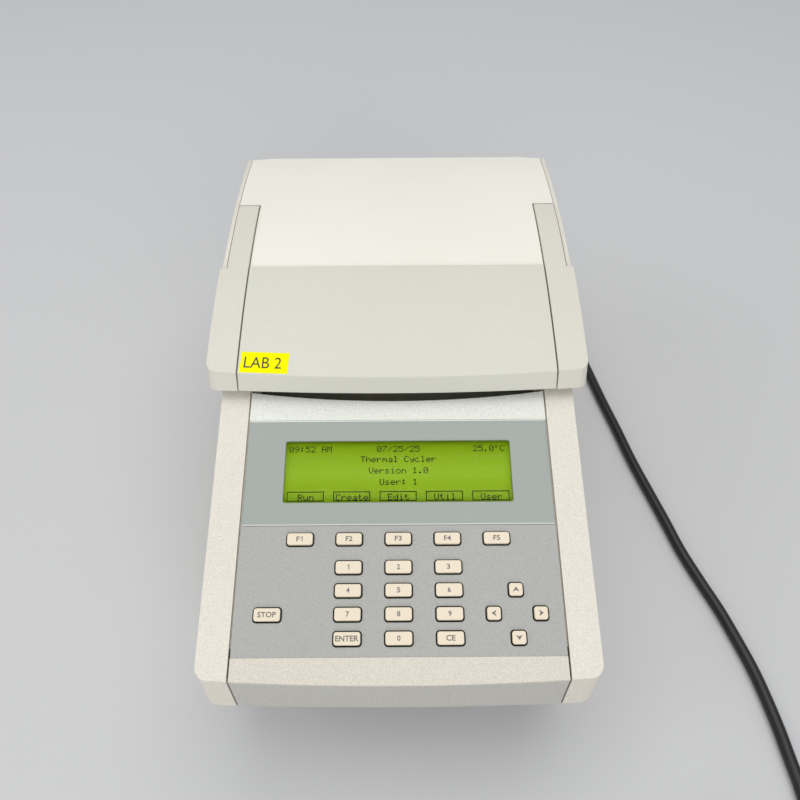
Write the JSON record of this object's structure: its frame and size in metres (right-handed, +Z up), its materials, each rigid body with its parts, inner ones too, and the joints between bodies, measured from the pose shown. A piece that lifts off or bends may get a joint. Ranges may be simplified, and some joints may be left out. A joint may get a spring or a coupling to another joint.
{
  "type": "thermal cycler",
  "caption": "Benchtop thermal cycler with a sloping keypad and display, a sample block with wells, and a hinged heated lid held shut by a latching lever.",
  "frame": {"origin": "middle of the machine's footprint on the table, without its mains lead", "axes": "+X to the operator's right, +Y from the front to the back, +Z up"},
  "size_m": [0.363, 0.6619, 0.1918],
  "materials": {
    "shell_beige": "fine textured moulded plastic",
    "panel_cream": "textured moulded plastic",
    "deck_grey": "moulded plastic",
    "lever_grey": "fine textured moulded plastic",
    "cover_white": "smooth matt plastic",
    "bezel_grey": "satin film",
    "keypad_grey": "textured plastic",
    "key_cream": "smooth moulded plastic",
    "display_green": "backlit liquid crystal panel",
    "window_clear": "clear window",
    "board_green": "circuit board",
    "gasket_rubber": "soft seal",
    "foot_rubber": "rubber",
    "block_metal": "anodised block",
    "sink_metal": "extruded heat sink",
    "plate_metal": "machined plate",
    "ceramic_white": "ceramic",
    "black_plastic": "moulded plastic",
    "tray_metal": "powder coat",
    "sheet_steel": "plated steel",
    "spring_steel": "drawn wire",
    "cord_black": "satin PVC"
  },
  "bodies": {
    "base": {"base_tray": "tray_metal", "side_shell_left": "shell_beige", "side_shell_right": "shell_beige", "front_panel": "panel_cream", "display_bezel": "bezel_grey", "display_window": "window_clear", "lcd_module": "display_green", "keypad_plate": "keypad_grey", "keypad_board": "board_green", "block_deck": "deck_grey", "block_gasket": "gasket_rubber", "sample_block": "block_metal", "peltier_modules": "ceramic_white", "heat_sink": "sink_metal", "fan_frame": "black_plastic", "rear_panel": "tray_metal", "power_supply": "sheet_steel", "main_board": "board_green", "power_inlet": "black_plastic", "feet": "foot_rubber", "case_screws": "sheet_steel", "hinge_brackets": "sheet_steel", "cord_connector": "cord_black", "cord_tube": "cord_black", "cord_coil": "cord_black", "mains_plug": "cord_black"},
    "lid": {"lid_shell": "shell_beige", "lid_cover": "cover_white", "plate_springs": "spring_steel"},
    "plate": {"heated_plate": "plate_metal"},
    "lever": {"lever_panel": "lever_grey", "lever_arm_left": "shell_beige", "lever_arm_right": "shell_beige"},
    "latch": {"latch_hooks": "sheet_steel"},
    "fan": {"fan_rotor": "black_plastic"},
    "rocker": {"power_switch": "black_plastic"},
    "drawer": {"fuse_drawer": "black_plastic"},
    "key_f1": {"key_f1": "key_cream"},
    "key_f2": {"key_f2": "key_cream"},
    "key_f3": {"key_f3": "key_cream"},
    "key_f4": {"key_f4": "key_cream"},
    "key_f5": {"key_f5": "key_cream"},
    "key_1": {"key_1": "key_cream"},
    "key_2": {"key_2": "key_cream"},
    "key_3": {"key_3": "key_cream"},
    "key_4": {"key_4": "key_cream"},
    "key_5": {"key_5": "key_cream"},
    "key_6": {"key_6": "key_cream"},
    "key_7": {"key_7": "key_cream"},
    "key_8": {"key_8": "key_cream"},
    "key_9": {"key_9": "key_cream"},
    "key_enter": {"key_enter": "key_cream"},
    "key_0": {"key_0": "key_cream"},
    "key_ce": {"key_ce": "key_cream"},
    "key_stop": {"key_stop": "key_cream"},
    "key_up": {"key_up": "key_cream"},
    "key_down": {"key_down": "key_cream"},
    "key_left": {"key_left": "key_cream"},
    "key_right": {"key_right": "key_cream"}
  },
  "joints": [
    {"name": "lid_hinge", "type": "hinge", "parent": "base", "child": "lid", "pos_m": [0, 0.17, 0.156], "axis": [-1, 0, 0], "range_deg": [0, 66]},
    {"name": "lever_lift", "type": "hinge", "parent": "lid", "child": "lever", "pos_m": [0, 0.101, 0.179], "axis": [-1, 0, 0], "range_deg": [0, 28]},
    {"name": "latch_swing", "type": "hinge", "parent": "lid", "child": "latch", "pos_m": [0, 0.002, 0.172], "axis": [-1, 0, 0], "range_deg": [0, 17]},
    {"name": "plate_float", "type": "slide", "parent": "lid", "child": "plate", "axis": [0, 0, 1], "range_m": [0, 0.003], "stiffness_N_per_m": 5000, "springref_m": -0.003, "deforming": ["plate_springs"]},
    {"name": "fan_spin", "type": "hinge", "parent": "base", "child": "fan", "pos_m": [-0.045, 0.18, 0.084], "axis": [0, 1, 0], "continuous": true},
    {"name": "rocker_tilt", "type": "hinge", "parent": "base", "child": "rocker", "pos_m": [0.07, 0.193, 0.084], "axis": [-1, 0, 0], "range_deg": [0, 16]},
    {"name": "drawer_slide", "type": "slide", "parent": "base", "child": "drawer", "axis": [0, 1, 0], "range_m": [0, 0.014]},
    {"name": "press_f1", "type": "slide", "parent": "base", "child": "key_f1", "axis": [0, 0.2554, -0.9668], "range_m": [0, 0.0012], "stiffness_N_per_m": 400},
    {"name": "press_f2", "type": "slide", "parent": "base", "child": "key_f2", "axis": [0, 0.2554, -0.9668], "range_m": [0, 0.0012], "stiffness_N_per_m": 400},
    {"name": "press_f3", "type": "slide", "parent": "base", "child": "key_f3", "axis": [0, 0.2554, -0.9668], "range_m": [0, 0.0012], "stiffness_N_per_m": 400},
    {"name": "press_f4", "type": "slide", "parent": "base", "child": "key_f4", "axis": [0, 0.2554, -0.9668], "range_m": [0, 0.0012], "stiffness_N_per_m": 400},
    {"name": "press_f5", "type": "slide", "parent": "base", "child": "key_f5", "axis": [0, 0.2554, -0.9668], "range_m": [0, 0.0012], "stiffness_N_per_m": 400},
    {"name": "press_1", "type": "slide", "parent": "base", "child": "key_1", "axis": [0, 0.2554, -0.9668], "range_m": [0, 0.0012], "stiffness_N_per_m": 400},
    {"name": "press_2", "type": "slide", "parent": "base", "child": "key_2", "axis": [0, 0.2554, -0.9668], "range_m": [0, 0.0012], "stiffness_N_per_m": 400},
    {"name": "press_3", "type": "slide", "parent": "base", "child": "key_3", "axis": [0, 0.2554, -0.9668], "range_m": [0, 0.0012], "stiffness_N_per_m": 400},
    {"name": "press_4", "type": "slide", "parent": "base", "child": "key_4", "axis": [0, 0.2554, -0.9668], "range_m": [0, 0.0012], "stiffness_N_per_m": 400},
    {"name": "press_5", "type": "slide", "parent": "base", "child": "key_5", "axis": [0, 0.2554, -0.9668], "range_m": [0, 0.0012], "stiffness_N_per_m": 400},
    {"name": "press_6", "type": "slide", "parent": "base", "child": "key_6", "axis": [0, 0.2554, -0.9668], "range_m": [0, 0.0012], "stiffness_N_per_m": 400},
    {"name": "press_7", "type": "slide", "parent": "base", "child": "key_7", "axis": [0, 0.2554, -0.9668], "range_m": [0, 0.0012], "stiffness_N_per_m": 400},
    {"name": "press_8", "type": "slide", "parent": "base", "child": "key_8", "axis": [0, 0.2554, -0.9668], "range_m": [0, 0.0012], "stiffness_N_per_m": 400},
    {"name": "press_9", "type": "slide", "parent": "base", "child": "key_9", "axis": [0, 0.2554, -0.9668], "range_m": [0, 0.0012], "stiffness_N_per_m": 400},
    {"name": "press_enter", "type": "slide", "parent": "base", "child": "key_enter", "axis": [0, 0.2554, -0.9668], "range_m": [0, 0.0012], "stiffness_N_per_m": 400},
    {"name": "press_0", "type": "slide", "parent": "base", "child": "key_0", "axis": [0, 0.2554, -0.9668], "range_m": [0, 0.0012], "stiffness_N_per_m": 400},
    {"name": "press_ce", "type": "slide", "parent": "base", "child": "key_ce", "axis": [0, 0.2554, -0.9668], "range_m": [0, 0.0012], "stiffness_N_per_m": 400},
    {"name": "press_stop", "type": "slide", "parent": "base", "child": "key_stop", "axis": [0, 0.2554, -0.9668], "range_m": [0, 0.0012], "stiffness_N_per_m": 400},
    {"name": "press_up", "type": "slide", "parent": "base", "child": "key_up", "axis": [0, 0.2554, -0.9668], "range_m": [0, 0.0012], "stiffness_N_per_m": 400},
    {"name": "press_down", "type": "slide", "parent": "base", "child": "key_down", "axis": [0, 0.2554, -0.9668], "range_m": [0, 0.0012], "stiffness_N_per_m": 400},
    {"name": "press_left", "type": "slide", "parent": "base", "child": "key_left", "axis": [0, 0.2554, -0.9668], "range_m": [0, 0.0012], "stiffness_N_per_m": 400},
    {"name": "press_right", "type": "slide", "parent": "base", "child": "key_right", "axis": [0, 0.2554, -0.9668], "range_m": [0, 0.0012], "stiffness_N_per_m": 400}
  ],
  "couplings": [
    {"joint": "latch_swing", "follows": "lever_lift", "ratio": 0.6}
  ]
}
